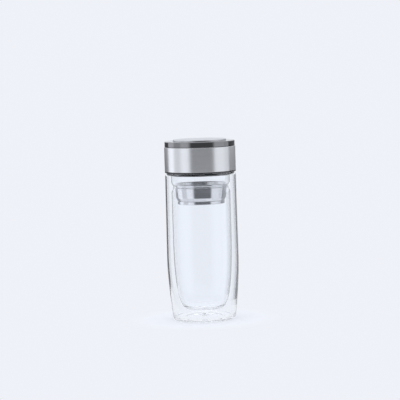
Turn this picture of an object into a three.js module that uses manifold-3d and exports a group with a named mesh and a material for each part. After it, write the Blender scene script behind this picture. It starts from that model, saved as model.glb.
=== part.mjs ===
// Double-wall glass tumbler with a screw cap and a short steel infuser that hangs in its neck.
// Millimetres, +Z up. The origin is the middle of the foot, on the surface that the tumbler stands on.

import * as THREE from "three";
import { mergeVertices } from "three/addons/utils/BufferGeometryUtils.js";
import Module from "manifold-3d";

const wasm = await Module();
wasm.setup();

// How finely round shapes are divided
const ROUND_SEGMENTS = 40;
const CURVE_STEPS = 4;
const THREAD_STEPS_PER_TURN = 40;

// Clearance between pieces that touch
const FIT_GAP = 0.3;

// Glass: mouth, neck and walls
const MOUTH_RADIUS = 27.9;
const INNER_WALL = 1;
const OUTER_WALL = 1.5;
const NECK_WALL = 1.5;
const NECK_HEIGHT = 17.8;
const RIM_HEIGHT = 1.7;
const RIM_ROUND = 0.9;

// Glass: outside of the outer wall
const SHOULDER_HEIGHT = 145.2;
const SHOULDER_WIDTH = 4.2;
const SHOULDER_INSIDE_CORNER = 1.7;
const NECK_FILLET = 0.9;
const BELLY_SWELL = 0.5;
const BELLY_HEIGHT = 62;
const TAPER_TURN_HEIGHT = 42;
const HEEL_INSET = 4;
const HEEL_WALL = 2.5;
const HEEL_HEIGHT = 5;
const HEEL_INSIDE_LIFT = 0.8;
const FOOT_INSET = 3.8;

// Glass: hollow base with its vent
const PUNT_RADIUS = 18.5;
const PUNT_DEPTH = 1.5;
const PUNT_SLOPE = 3;
const BASE_WALL = 1.7;
const VENT_RADIUS = 2.2;

// Glass: inside of the inner wall
const AIR_GAP = 5;
const FLOOR_GAP = 7.7;
const FLOOR_WALL = 2.4;
const FLOOR_FLAT_RADIUS = 17.5;
const FLOOR_CURVE_REACH = 6.5;
const FLOOR_CURVE_RISE = 26;
const INNER_TAPER_HEIGHT = 67.8;
const WAIST_DEPTH = 1.8;
const WAIST_BELOW_SHOULDER = 14.3;
const WAIST_HALF_HEIGHT = 6;

// Vent plug
const PLUG_HEAD_RADIUS = 4;
const PLUG_HEAD_HEIGHT = 0.8;
const PLUG_BARB_RADIUS = 2.8;
const PLUG_BARB_HEIGHT = 1.2;
const PLUG_TIP_RADIUS = 1.2;

// Screw thread of the neck and the cap
const THREAD_LEAD = 6;
const THREAD_TURNS = 1.25;
const THREAD_DEPTH = 1.25;
const THREAD_BASE_WIDTH = 2.6;
const THREAD_CREST_WIDTH = 1.2;
const THREAD_CLEARANCE = 0.35;
const THREAD_BELOW_MOUTH = 5.3;
const THREAD_FADE = 0.08;
const THREAD_SINK = 0.4;

// Cap
const CAP_ABOVE_SHOULDER = 0.4;
const LINER_WALL = 1.9;
const LINER_PLATE = 2;
const LINER_FLANGE_HEIGHT = 0.9;
const LINER_FLANGE_STEP = 0.1;
const GASKET_HEIGHT = 2;
const GASKET_OVERHANG = 0.3;
const SLEEVE_SHEET = 0.5;
const SLEEVE_HEIGHT = 23.9;
const SLEEVE_EDGE = 0.3;
const CROWN_HEIGHT = 5.2;
const CROWN_STEP = 0.5;
const CROWN_CHAMFER = 0.6;
const CROWN_PLATE = 1.3;
const CROWN_SPIGOT_DEPTH = 2.6;
const CROWN_SPIGOT_WALL = 1.6;
const DISC_RADIUS = 26;
const DISC_SEAT_DEPTH = 1.2;
const DISC_LEDGE = 2;
const DISC_RISE = 1.5;
const DISC_SHEET = 0.6;
const DISC_ROUND = 0.5;

// Infuser
const STEEL_SHEET = 0.6;
const LIP_CLEARANCE = 1.4;
const LIP_ABOVE_WAIST = 1.8;
const LIP_HEIGHT = 1.6;
const COLLAR_THICKNESS = 0.7;
const COLLAR_HEIGHT = 1.2;
const CUP_SHOULDER = 0.6;
const CUP_SHOULDER_DROP = 0.4;
const CUP_TAPER = 0.8;
const CUP_WALL_HEIGHT = 9.8;
const CUP_BEVEL_HEIGHT = 3;
const CUP_BEVEL_INSET = 2.6;
const SPIGOT_HEIGHT = 1.3;
const PLATE_THICKNESS = 0.6;
const PLATE_MARGIN = 2.6;
const HOLE_RADIUS = 0.9;
const HOLE_PITCH = 4.2;
const HOLE_SIDES = 8;
const BASE_RING_WALL = 0.8;
const BASE_RING_LEDGE = 2.9;

// Radii that follow from the mouth outwards
const NECK_RADIUS = MOUTH_RADIUS + INNER_WALL + FIT_GAP + NECK_WALL;
const SHOULDER_RADIUS = NECK_RADIUS + SHOULDER_WIDTH;
const BELLY_RADIUS = SHOULDER_RADIUS + BELLY_SWELL;
const HEEL_RADIUS = BELLY_RADIUS - HEEL_INSET;
const FOOT_RADIUS = HEEL_RADIUS - FOOT_INSET;
const CUP_RADIUS = BELLY_RADIUS - OUTER_WALL - AIR_GAP - INNER_WALL;
const WAIST_RADIUS = MOUTH_RADIUS - WAIST_DEPTH;
const LINER_BORE = NECK_RADIUS + THREAD_DEPTH + THREAD_CLEARANCE;
const LINER_RADIUS = LINER_BORE + LINER_WALL;
const SLEEVE_RADIUS = LINER_RADIUS + FIT_GAP + SLEEVE_SHEET;
const CROWN_RADIUS = SLEEVE_RADIUS - CROWN_STEP;
const COLLAR_RADIUS = WAIST_RADIUS - FIT_GAP;
const CUP_THROAT = COLLAR_RADIUS - COLLAR_THICKNESS - FIT_GAP;
const CUP_BODY = CUP_THROAT + CUP_SHOULDER;
const LIP_RADIUS = MOUTH_RADIUS - LIP_CLEARANCE;
const SPIGOT_RADIUS = CUP_BODY - CUP_TAPER - CUP_BEVEL_INSET;
const BASE_RING_RADIUS = SPIGOT_RADIUS + FIT_GAP + BASE_RING_WALL;

// Levels, from the foot upwards
const BASE_TOP = PUNT_DEPTH + BASE_WALL;
const CUP_FLOOR = BASE_TOP + FLOOR_GAP + FLOOR_WALL;
const WAIST_LEVEL = SHOULDER_HEIGHT - WAIST_BELOW_SHOULDER;
const MOUTH_LEVEL = SHOULDER_HEIGHT + NECK_HEIGHT;
const RIM_SEAT = MOUTH_LEVEL - RIM_HEIGHT;
const THREAD_LEVEL = MOUTH_LEVEL - THREAD_BELOW_MOUTH - THREAD_LEAD * THREAD_TURNS;
const CAP_LEVEL = SHOULDER_HEIGHT + CAP_ABOVE_SHOULDER;
const GASKET_LEVEL = MOUTH_LEVEL + FIT_GAP;
const LINER_PLATE_LEVEL = GASKET_LEVEL + GASKET_HEIGHT + FIT_GAP;
const SLEEVE_LEVEL = CAP_LEVEL + LINER_FLANGE_HEIGHT + FIT_GAP;
const CROWN_LEVEL = SLEEVE_LEVEL + SLEEVE_HEIGHT + FIT_GAP;
const CROWN_TOP = CROWN_LEVEL + CROWN_HEIGHT;
const DISC_SEAT = CROWN_TOP - DISC_SEAT_DEPTH;
const DISC_TOP = CROWN_TOP + DISC_RISE;
const LIP_LEVEL = WAIST_LEVEL + LIP_ABOVE_WAIST;
const COLLAR_TOP = LIP_LEVEL - FIT_GAP;
const COLLAR_LEVEL = COLLAR_TOP - COLLAR_HEIGHT;
const CUP_SHOULDER_LEVEL = COLLAR_LEVEL - FIT_GAP;
const CUP_WALL_TOP = CUP_SHOULDER_LEVEL - CUP_SHOULDER_DROP;
const CUP_WALL_LEVEL = CUP_WALL_TOP - CUP_WALL_HEIGHT;
const SPIGOT_TOP = CUP_WALL_LEVEL - CUP_BEVEL_HEIGHT;
const SPIGOT_LEVEL = SPIGOT_TOP - SPIGOT_HEIGHT;
const PLATE_LEVEL = SPIGOT_LEVEL - FIT_GAP - PLATE_THICKNESS;
const BASE_RING_TOP = SPIGOT_TOP - FIT_GAP;
const BASE_RING_SEAT = PLATE_LEVEL - FIT_GAP;
const BASE_RING_LEVEL = BASE_RING_SEAT - BASE_RING_WALL;

// Finishes
const FINISHES = {
  glass: { color: 0xeef2f6, roughness: 0.03, metalness: 0, transparent: true, opacity: 0.3 },
  brushedSteel: { color: 0xc2c4c8, roughness: 0.35, metalness: 1 },
  polishedSteel: { color: 0xcfd1d5, roughness: 0.12, metalness: 1 },
  darkChrome: { color: 0x55565a, roughness: 0.1, metalness: 1 },
  darkPlastic: { color: 0x1c1c1e, roughness: 0.5, metalness: 0 },
  silicone: { color: 0xe6e8ea, roughness: 0.45, metalness: 0 },
};

const tumbler = new THREE.Group();
tumbler.name = "glass_tumbler_with_infuser";

function addPiece(name, geometry, finish) {
  const piece = new THREE.Mesh(geometry, new THREE.MeshStandardMaterial(FINISHES[finish]));
  piece.name = name;
  tumbler.add(piece);
}

// Turns an outline of [radius, height] points about +Z
function turned(outline, segments = ROUND_SEGMENTS) {
  const points = outline.map(([radius, height]) => new THREE.Vector2(radius, height));
  return new THREE.LatheGeometry(points, segments).rotateX(Math.PI / 2);
}

// Turns an outline that doesn't reach the axis, closing it on its first point
function turnedRing(outline, segments = ROUND_SEGMENTS) {
  return turned([...outline, outline[0]], segments);
}

function outlineOf(path) {
  return path.getPoints(CURVE_STEPS).map((point) => [point.x, point.y]);
}

function toSolid(geometry) {
  const bare = geometry.clone();
  bare.deleteAttribute("normal");
  bare.deleteAttribute("uv");
  const merged = mergeVertices(bare, 1e-4);
  return new wasm.Manifold(new wasm.Mesh({
    numProp: 3,
    vertProperties: new Float32Array(merged.attributes.position.array),
    triVerts: new Uint32Array(merged.index.array),
  }));
}

function toGeometry(solid) {
  const mesh = solid.getMesh();
  const geometry = new THREE.BufferGeometry();
  geometry.setAttribute("position", new THREE.BufferAttribute(mesh.vertProperties, 3));
  geometry.setIndex(new THREE.BufferAttribute(mesh.triVerts, 1));
  geometry.computeVertexNormals();
  return geometry;
}

// A right-hand thread ridge on a cylinder. It stands out of the wall when side is 1 and into the bore when -1
function threadRidge(wallRadius, startLevel, side) {
  const base = THREAD_BASE_WIDTH / 2;
  const crest = THREAD_CREST_WIDTH / 2;
  const section = new THREE.Shape();
  section.moveTo(-base, -THREAD_SINK);
  section.lineTo(base, -THREAD_SINK);
  section.lineTo(base, 0);
  section.lineTo(crest, THREAD_DEPTH);
  section.lineTo(-crest, THREAD_DEPTH);
  section.lineTo(-base, 0);
  const steps = Math.round(THREAD_STEPS_PER_TURN * THREAD_TURNS);
  const ridge = new THREE.ExtrudeGeometry(section, { depth: 1, steps, bevelEnabled: false });
  const position = ridge.attributes.position;
  for (let i = 0; i < position.count; i += 1) {
    const along = position.getZ(i);
    const angle = along * THREAD_TURNS * 2 * Math.PI;
    const fade = Math.min(1, along / THREAD_FADE, (1 - along) / THREAD_FADE);
    const height = position.getY(i) > 0 ? position.getY(i) * fade : position.getY(i);
    const radius = wallRadius + side * height;
    const level = startLevel + along * THREAD_TURNS * THREAD_LEAD + side * position.getX(i);
    position.setXYZ(i, radius * Math.cos(angle), radius * Math.sin(angle), level);
  }
  return ridge;
}

// One side of the outer wall, from the foot to the top of the neck
function outerWallSide(inset, heelInset, floor, neckRadius) {
  const foot = FOOT_RADIUS - inset;
  const heel = HEEL_RADIUS - heelInset;
  const belly = BELLY_RADIUS - inset;
  const shoulder = SHOULDER_RADIUS - inset;
  const shoulderTop = SHOULDER_HEIGHT - inset;
  const corner = SHOULDER_INSIDE_CORNER + OUTER_WALL - inset;
  const heelTop = HEEL_HEIGHT + HEEL_INSIDE_LIFT * floor;
  const heelLean = ((heelTop - floor) * (belly - heel)) / (TAPER_TURN_HEIGHT - heelTop);
  const side = new THREE.Path();
  side.moveTo(foot, floor);
  side.quadraticCurveTo(heel - heelLean, floor, heel, heelTop);
  side.quadraticCurveTo(belly, TAPER_TURN_HEIGHT, belly, BELLY_HEIGHT);
  side.lineTo(shoulder, shoulderTop - corner);
  side.quadraticCurveTo(shoulder, shoulderTop, shoulder - corner, shoulderTop);
  side.lineTo(neckRadius + NECK_FILLET, shoulderTop);
  side.quadraticCurveTo(neckRadius, shoulderTop, neckRadius, shoulderTop + NECK_FILLET);
  side.lineTo(neckRadius, RIM_SEAT - FIT_GAP);
  return outlineOf(side);
}

function outerGlassWall() {
  const underside = [
    [VENT_RADIUS, BASE_TOP],
    [VENT_RADIUS, PUNT_DEPTH],
    [PUNT_RADIUS - PUNT_SLOPE, PUNT_DEPTH],
    [PUNT_RADIUS, 0],
  ];
  const outside = outerWallSide(0, 0, 0, NECK_RADIUS);
  const inside = outerWallSide(OUTER_WALL, HEEL_WALL, BASE_TOP, NECK_RADIUS - NECK_WALL).reverse();
  const wall = turnedRing([...underside, ...outside, ...inside]);
  const thread = threadRidge(NECK_RADIUS, THREAD_LEVEL, 1);
  return toGeometry(toSolid(wall).add(toSolid(thread)));
}

// One side of the inner wall, from the middle of the floor to the seat of the rim
function innerWallSide(wall, floor) {
  const body = CUP_RADIUS + wall;
  const waist = WAIST_RADIUS + wall;
  const neck = MOUTH_RADIUS + wall;
  const halfWay = WAIST_HALF_HEIGHT / 2;
  const side = new THREE.Path();
  side.moveTo(0, floor);
  side.lineTo(FLOOR_FLAT_RADIUS, floor);
  side.bezierCurveTo(
    FLOOR_FLAT_RADIUS + FLOOR_CURVE_REACH + wall, floor,
    body, floor + FLOOR_CURVE_RISE,
    body, CUP_FLOOR + INNER_TAPER_HEIGHT,
  );
  side.lineTo(body, WAIST_LEVEL - WAIST_HALF_HEIGHT);
  side.bezierCurveTo(body, WAIST_LEVEL - halfWay, waist, WAIST_LEVEL - halfWay, waist, WAIST_LEVEL);
  side.bezierCurveTo(
    waist, WAIST_LEVEL + halfWay,
    neck, WAIST_LEVEL + halfWay,
    neck, WAIST_LEVEL + WAIST_HALF_HEIGHT,
  );
  side.lineTo(neck, RIM_SEAT);
  return outlineOf(side);
}

function innerGlassWall() {
  const outside = innerWallSide(INNER_WALL, CUP_FLOOR - FLOOR_WALL);
  const inside = innerWallSide(0, CUP_FLOOR).reverse();
  const rim = new THREE.Path();
  rim.moveTo(NECK_RADIUS, RIM_SEAT);
  rim.lineTo(NECK_RADIUS, MOUTH_LEVEL - RIM_ROUND);
  rim.quadraticCurveTo(NECK_RADIUS, MOUTH_LEVEL, NECK_RADIUS - RIM_ROUND, MOUTH_LEVEL);
  rim.lineTo(MOUTH_RADIUS + RIM_ROUND, MOUTH_LEVEL);
  rim.quadraticCurveTo(MOUTH_RADIUS, MOUTH_LEVEL, MOUTH_RADIUS, MOUTH_LEVEL - RIM_ROUND);
  return turned([...outside, ...outlineOf(rim), ...inside]);
}

// Silicone plug: a head in the hollow of the base, a stem through the vent and a barb that holds it
function ventPlug() {
  const headTop = PUNT_DEPTH - FIT_GAP;
  const barbLevel = BASE_TOP + FIT_GAP;
  return turned([
    [0, headTop - PLUG_HEAD_HEIGHT],
    [PLUG_HEAD_RADIUS, headTop - PLUG_HEAD_HEIGHT],
    [PLUG_HEAD_RADIUS, headTop],
    [VENT_RADIUS - FIT_GAP, headTop],
    [VENT_RADIUS - FIT_GAP, barbLevel],
    [PLUG_BARB_RADIUS, barbLevel],
    [PLUG_TIP_RADIUS, barbLevel + PLUG_BARB_HEIGHT],
    [0, barbLevel + PLUG_BARB_HEIGHT],
  ], ROUND_SEGMENTS / 2);
}

// Drawn steel cup: lip, groove for the collar, shoulder, wall, bevel and the spigot that holds the plate
function infuserCup() {
  const sheet = STEEL_SHEET;
  const bevelTop = CUP_BODY - CUP_TAPER;
  return turnedRing([
    [SPIGOT_RADIUS, SPIGOT_LEVEL],
    [SPIGOT_RADIUS, SPIGOT_TOP],
    [BASE_RING_RADIUS, SPIGOT_TOP],
    [bevelTop, CUP_WALL_LEVEL],
    [CUP_BODY, CUP_WALL_TOP],
    [CUP_THROAT, CUP_SHOULDER_LEVEL],
    [CUP_THROAT, LIP_LEVEL],
    [LIP_RADIUS - LIP_HEIGHT / 2, LIP_LEVEL],
    [LIP_RADIUS, LIP_LEVEL + LIP_HEIGHT / 2],
    [LIP_RADIUS - LIP_HEIGHT / 2, LIP_LEVEL + LIP_HEIGHT],
    [CUP_THROAT - sheet, LIP_LEVEL + LIP_HEIGHT],
    [CUP_THROAT - sheet, CUP_SHOULDER_LEVEL - sheet],
    [CUP_BODY - sheet, CUP_WALL_TOP - sheet],
    [bevelTop - sheet, CUP_WALL_LEVEL + sheet],
    [SPIGOT_RADIUS - sheet, SPIGOT_TOP + sheet],
    [SPIGOT_RADIUS - sheet, SPIGOT_LEVEL],
  ]);
}

// Clear silicone collar in the groove under the lip of the infuser
function infuserCollar() {
  const inside = CUP_THROAT + FIT_GAP;
  const edge = COLLAR_THICKNESS / 2;
  return turnedRing([
    [inside, COLLAR_LEVEL],
    [COLLAR_RADIUS - edge, COLLAR_LEVEL],
    [COLLAR_RADIUS, COLLAR_LEVEL + edge],
    [COLLAR_RADIUS, COLLAR_TOP - edge],
    [COLLAR_RADIUS - edge, COLLAR_TOP],
    [inside, COLLAR_TOP],
  ]);
}

// Perforated plate, with its holes on a triangular grid
function infuserStrainerPlate() {
  const plate = new THREE.Shape().absarc(0, 0, SPIGOT_RADIUS, 0, 2 * Math.PI);
  const reach = SPIGOT_RADIUS - PLATE_MARGIN - HOLE_RADIUS;
  const rows = Math.ceil(reach / HOLE_PITCH) + 1;
  for (let row = -rows; row <= rows; row += 1) {
    for (let column = -2 * rows; column <= 2 * rows; column += 1) {
      const x = (column + row / 2) * HOLE_PITCH;
      const y = row * HOLE_PITCH * Math.sin(Math.PI / 3);
      if (Math.hypot(x, y) <= reach) {
        plate.holes.push(holeAt(x, y));
      }
    }
  }
  const settings = { depth: PLATE_THICKNESS, bevelEnabled: false, curveSegments: ROUND_SEGMENTS / 2 };
  return new THREE.ExtrudeGeometry(plate, settings).translate(0, 0, PLATE_LEVEL);
}

function holeAt(x, y) {
  const corners = [];
  for (let corner = 0; corner < HOLE_SIDES; corner += 1) {
    const angle = (-corner * 2 * Math.PI) / HOLE_SIDES;
    corners.push(new THREE.Vector2(x + HOLE_RADIUS * Math.cos(angle), y + HOLE_RADIUS * Math.sin(angle)));
  }
  return new THREE.Path(corners);
}

// Ring pressed over the spigot, with a ledge that carries the plate
function infuserBaseRing() {
  const bore = SPIGOT_RADIUS + FIT_GAP;
  const edge = BASE_RING_WALL / 2;
  return turnedRing([
    [bore - BASE_RING_LEDGE, BASE_RING_LEVEL],
    [BASE_RING_RADIUS - edge, BASE_RING_LEVEL],
    [BASE_RING_RADIUS, BASE_RING_LEVEL + edge],
    [BASE_RING_RADIUS, BASE_RING_TOP],
    [bore, BASE_RING_TOP],
    [bore, BASE_RING_SEAT],
    [bore - BASE_RING_LEDGE, BASE_RING_SEAT],
  ]);
}

// Inner cap: threaded wall, plate over the gasket, and the flange that shows below the sleeve
function capLiner() {
  const flange = SLEEVE_RADIUS - LINER_FLANGE_STEP;
  const flangeTop = CAP_LEVEL + LINER_FLANGE_HEIGHT;
  const wallTop = CROWN_LEVEL - FIT_GAP;
  const plateTop = LINER_PLATE_LEVEL + LINER_PLATE;
  const body = turned([
    [0, LINER_PLATE_LEVEL],
    [LINER_BORE, LINER_PLATE_LEVEL],
    [LINER_BORE, CAP_LEVEL],
    [flange, CAP_LEVEL],
    [flange, flangeTop],
    [LINER_RADIUS, flangeTop],
    [LINER_RADIUS, wallTop],
    [LINER_BORE, wallTop],
    [LINER_BORE, plateTop],
    [0, plateTop],
  ]);
  const drop = (THREAD_BASE_WIDTH + THREAD_CREST_WIDTH) / 2 + THREAD_CLEARANCE;
  const thread = threadRidge(LINER_BORE, THREAD_LEVEL - drop, -1);
  return toGeometry(toSolid(body).add(toSolid(thread)));
}

// Flat gasket between the mouth and the plate of the liner
function capGasket() {
  const inside = MOUTH_RADIUS + GASKET_OVERHANG;
  const outside = LINER_BORE - FIT_GAP;
  return turnedRing([
    [inside, GASKET_LEVEL],
    [outside, GASKET_LEVEL],
    [outside, GASKET_LEVEL + GASKET_HEIGHT],
    [inside, GASKET_LEVEL + GASKET_HEIGHT],
  ]);
}

// Steel sleeve with softened edges
function capSleeve() {
  const top = SLEEVE_LEVEL + SLEEVE_HEIGHT;
  const inside = SLEEVE_RADIUS - SLEEVE_SHEET;
  return turnedRing([
    [inside, SLEEVE_LEVEL],
    [SLEEVE_RADIUS - SLEEVE_EDGE, SLEEVE_LEVEL],
    [SLEEVE_RADIUS, SLEEVE_LEVEL + SLEEVE_EDGE],
    [SLEEVE_RADIUS, top - SLEEVE_EDGE],
    [SLEEVE_RADIUS - SLEEVE_EDGE, top],
    [inside, top],
  ]);
}

// Dark ring on top of the sleeve, with a spigot in the liner and a seat for the disc
function capCrownRing() {
  const spigot = LINER_BORE - FIT_GAP;
  const spigotInside = spigot - CROWN_SPIGOT_WALL;
  const spigotLevel = CROWN_LEVEL - CROWN_SPIGOT_DEPTH;
  const seat = DISC_RADIUS + FIT_GAP;
  const plateUnderside = DISC_SEAT - CROWN_PLATE;
  return turnedRing([
    [spigotInside, spigotLevel],
    [spigot, spigotLevel],
    [spigot, CROWN_LEVEL],
    [CROWN_RADIUS, CROWN_LEVEL],
    [CROWN_RADIUS, CROWN_TOP - CROWN_CHAMFER],
    [CROWN_RADIUS - CROWN_CHAMFER, CROWN_TOP],
    [seat, CROWN_TOP],
    [seat, DISC_SEAT],
    [DISC_RADIUS - DISC_LEDGE, DISC_SEAT],
    [DISC_RADIUS - DISC_LEDGE, plateUnderside],
    [spigotInside, plateUnderside],
  ]);
}

// Pressed disc that stands a little proud of the crown ring
function capTopDisc() {
  const skirt = DISC_RADIUS - DISC_SHEET;
  const underside = DISC_TOP - DISC_SHEET;
  const seat = DISC_SEAT + FIT_GAP;
  return turned([
    [0, underside],
    [skirt, underside],
    [skirt, seat],
    [DISC_RADIUS, seat],
    [DISC_RADIUS, DISC_TOP - DISC_ROUND],
    [DISC_RADIUS - DISC_ROUND, DISC_TOP],
    [0, DISC_TOP],
  ]);
}

addPiece("outer_glass_wall", outerGlassWall(), "glass");
addPiece("inner_glass_wall", innerGlassWall(), "glass");
addPiece("vent_plug", ventPlug(), "silicone");
addPiece("infuser_cup", infuserCup(), "polishedSteel");
addPiece("infuser_collar", infuserCollar(), "silicone");
addPiece("infuser_strainer_plate", infuserStrainerPlate(), "polishedSteel");
addPiece("infuser_base_ring", infuserBaseRing(), "polishedSteel");
addPiece("cap_liner", capLiner(), "darkPlastic");
addPiece("cap_gasket", capGasket(), "silicone");
addPiece("cap_sleeve", capSleeve(), "brushedSteel");
addPiece("cap_crown_ring", capCrownRing(), "darkChrome");
addPiece("cap_top_disc", capTopDisc(), "polishedSteel");

export default tumbler;
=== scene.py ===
# %% [markdown]
# # A double-wall glass tumbler with an infuser
#
# The tumbler has a blown glass body with two walls, a short steel infuser that hangs in its neck, and a
# screw cap with a brushed steel sleeve. Nearly every piece is round, so nearly every piece is turned: its
# outline is drawn once, as a potter holds a template to the clay, and spun about the upright axis.
#
# The frame comes first. It holds the bodies that move, and a plain solid for each piece, so that every size
# below can be taken from it and every new piece lands where the plain one is.

# %% Load the frame and keep its box
import math
import bpy
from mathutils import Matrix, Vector


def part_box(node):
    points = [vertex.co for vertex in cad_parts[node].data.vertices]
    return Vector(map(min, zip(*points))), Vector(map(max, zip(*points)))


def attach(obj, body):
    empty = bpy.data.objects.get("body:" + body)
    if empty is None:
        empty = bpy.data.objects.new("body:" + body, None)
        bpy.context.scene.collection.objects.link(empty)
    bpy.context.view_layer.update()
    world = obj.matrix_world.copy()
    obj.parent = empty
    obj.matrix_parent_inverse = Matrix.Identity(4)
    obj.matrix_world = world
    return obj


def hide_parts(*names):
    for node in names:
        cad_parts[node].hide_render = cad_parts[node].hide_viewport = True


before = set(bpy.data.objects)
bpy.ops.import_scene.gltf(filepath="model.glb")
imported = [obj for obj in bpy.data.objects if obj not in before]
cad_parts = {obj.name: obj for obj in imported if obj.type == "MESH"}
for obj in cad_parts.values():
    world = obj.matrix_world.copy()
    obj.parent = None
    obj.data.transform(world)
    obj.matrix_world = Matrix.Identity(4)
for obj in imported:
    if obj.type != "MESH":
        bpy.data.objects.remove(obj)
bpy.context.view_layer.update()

# %% [markdown]
# ## Sizes
#
# Outlines are drawn in millimetres, as a drawing of a tumbler would be, and turned into metres when they are
# traced. A piece's radius, foot and top come from the box of its plain solid, and neighbours keep the same
# fitting gap as the plain solids do.

# %% Sizes from the frame
MM = 0.001
GAP = 0.3


def radius_of(node):
    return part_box(node)[1].x / MM


def foot_of(node):
    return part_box(node)[0].z / MM


def top_of(node):
    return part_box(node)[1].z / MM


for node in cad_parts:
    print(f"{node}: radius {radius_of(node):.1f}, from {foot_of(node):.1f} to {top_of(node):.1f} mm")

# %% [markdown]
# ## Drawing an outline
#
# An outline is a list of (radius, height) points. Long sweeps of the glass are Bezier curves. Metal and
# rubber have corners that are only eased, so a second helper takes corners with a rounding each and puts a
# short curve in place of every corner. A Bevel modifier could round them too, but by the same width all over.

# %% Curves and rounded corners
def bezier(*controls, steps=12):
    """The points of a Bezier curve after its first control point."""
    points = []
    for step in range(1, steps + 1):
        row = [Vector(control) for control in controls]
        while len(row) > 1:
            row = [start.lerp(end, step / steps) for start, end in zip(row, row[1:])]
        points.append(tuple(row[0]))
    return points


def rounded(*corners, steps=4):
    """An outline through corners of (radius, height, rounding); a rounding of 0 keeps the corner sharp."""
    points = []
    for index, (radius, height, rounding) in enumerate(corners):
        corner = Vector((radius, height))
        if rounding == 0:
            points.append(tuple(corner))
            continue
        before = Vector(corners[index - 1][:2])
        after = Vector(corners[(index + 1) % len(corners)][:2])
        start = corner + (before - corner).normalized() * rounding
        end = corner + (after - corner).normalized() * rounding
        points.append(tuple(start))
        points += bezier(start, corner, end, steps=steps)
    return points


print("a rounded square has", len(rounded((0, 0, 1), (9, 0, 1), (9, 9, 1), (0, 9, 1))), "points")

# %% [markdown]
# ## Turning an outline
#
# By hand this starts with a plane that is merged to one point. The point is moved to the start of the
# outline and extruded from point to point, and the finished line is spun right round the axis. Spinning
# leaves doubled points at the seam and on the axis, and faces that may look inwards, so the doubles are
# merged and the normals recalculated before the piece is shaded smooth.

# %% Trace an outline and turn it
ROUND_STEPS = 144
FINE_STEPS = 192
WELD = 0.0005 * MM
SMOOTH_ANGLE = math.radians(32)


def trace(name, outline):
    """A new object in edit mode, with the outline as a line of edges in the plane of X and Z."""
    bpy.ops.object.select_all(action="DESELECT")
    bpy.ops.mesh.primitive_plane_add(size=MM, calc_uvs=False)
    piece = bpy.context.object
    piece.name = piece.data.name = name
    bpy.ops.object.mode_set(mode="EDIT")
    bpy.ops.mesh.merge(type="CENTER")
    at = Vector((0, 0))
    for index, point in enumerate(outline):
        move = (Vector(point) - at) * MM
        step = (move.x, 0, move.y)
        if index == 0:
            bpy.ops.transform.translate(value=step)
        else:
            bpy.ops.mesh.extrude_region_move(TRANSFORM_OT_translate={"value": step})
        at = Vector(point)
    bpy.ops.mesh.select_all(action="SELECT")
    return piece


def close_up(piece):
    """Merges doubled points, turns the faces outwards and shades the piece smooth up to its sharp edges."""
    bpy.ops.mesh.select_all(action="SELECT")
    bpy.ops.mesh.remove_doubles(threshold=WELD)
    bpy.ops.mesh.normals_make_consistent(inside=False)
    bpy.ops.object.mode_set(mode="OBJECT")
    bpy.ops.object.shade_smooth_by_angle(angle=SMOOTH_ANGLE)
    print(f"{piece.name}: {len(piece.data.polygons)} faces")
    return piece


def turn(name, outline, steps=ROUND_STEPS):
    """A round piece from an outline that starts and ends on the axis."""
    piece = trace(name, outline)
    bpy.ops.mesh.spin(steps=steps, angle=2 * math.pi, axis=(0, 0, 1), center=(0, 0, 0))
    return close_up(piece)


def turn_ring(name, outline, steps=ROUND_STEPS):
    """A ring from an outline that stays off the axis and closes on its first point."""
    return turn(name, [*outline, outline[0]], steps)


print("a piece is turned in", ROUND_STEPS, "steps, or in", FINE_STEPS, "where its edge shows most")

# %% [markdown]
# ## The screw thread
#
# The neck carries a raised right-hand ridge, and the plastic inside the cap has a matching one. A ridge is
# made by extruding its cross-section along a helix, a few degrees at a time. The first and last steps start
# sunk in the wall and grow out of it, as a moulded thread runs out. A Boolean union then makes ridge and
# wall one skin, so that light meets no face inside the glass.

# %% Sweep a thread ridge
THREAD_LEAD = 6
THREAD_TURNS = 1.25
THREAD_DEPTH = 1.25
THREAD_BASE = 2.6
THREAD_CREST = 1.2
THREAD_EDGE = 0.35
THREAD_ROOT = 0.4
THREAD_SUNK = 0.1
THREAD_FADE = 0.08
THREAD_STEPS = 90


def ridge_height(along):
    """The ridge's height against its full height, in millimetres: below 0 near its two ends and else 0."""
    grown = min(1, along / THREAD_FADE, (1 - along) / THREAD_FADE)
    return (grown - 1) * (THREAD_DEPTH + THREAD_SUNK)


def thread_ridge(name, wall, level, side):
    """A ridge on a wall of that radius: it stands outwards when side is 1 and inwards when it is -1."""
    base, crest = THREAD_BASE / 2, THREAD_CREST / 2
    sunk = wall + side * ridge_height(0)
    section = rounded(
        (sunk - side * THREAD_ROOT, level - base, 0),
        (sunk, level - base, 0),
        (sunk + side * THREAD_DEPTH, level - crest, THREAD_EDGE),
        (sunk + side * THREAD_DEPTH, level + crest, THREAD_EDGE),
        (sunk, level + base, 0),
        (sunk - side * THREAD_ROOT, level + base, 0),
    )
    ridge = trace(name, section)
    bpy.ops.mesh.edge_face_add()
    angle = 2 * math.pi * THREAD_TURNS / THREAD_STEPS
    rise = THREAD_LEAD * THREAD_TURNS / THREAD_STEPS * MM
    for step in range(THREAD_STEPS):
        now = wall + side * ridge_height(step / THREAD_STEPS)
        then = wall + side * ridge_height((step + 1) / THREAD_STEPS)
        bpy.ops.mesh.extrude_region_move(TRANSFORM_OT_translate={"value": (0, 0, rise)})
        bpy.ops.transform.rotate(value=-angle, orient_axis="Z", center_override=(0, 0, 0))
        bpy.ops.transform.resize(value=(then / now, then / now, 1), center_override=(0, 0, 0))
    return close_up(ridge)


print("a thread climbs", THREAD_LEAD * THREAD_TURNS, "mm in", THREAD_TURNS, "turns")

# %% Unite or cut two shapes
SLIVER = 0.004 * MM


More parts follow.
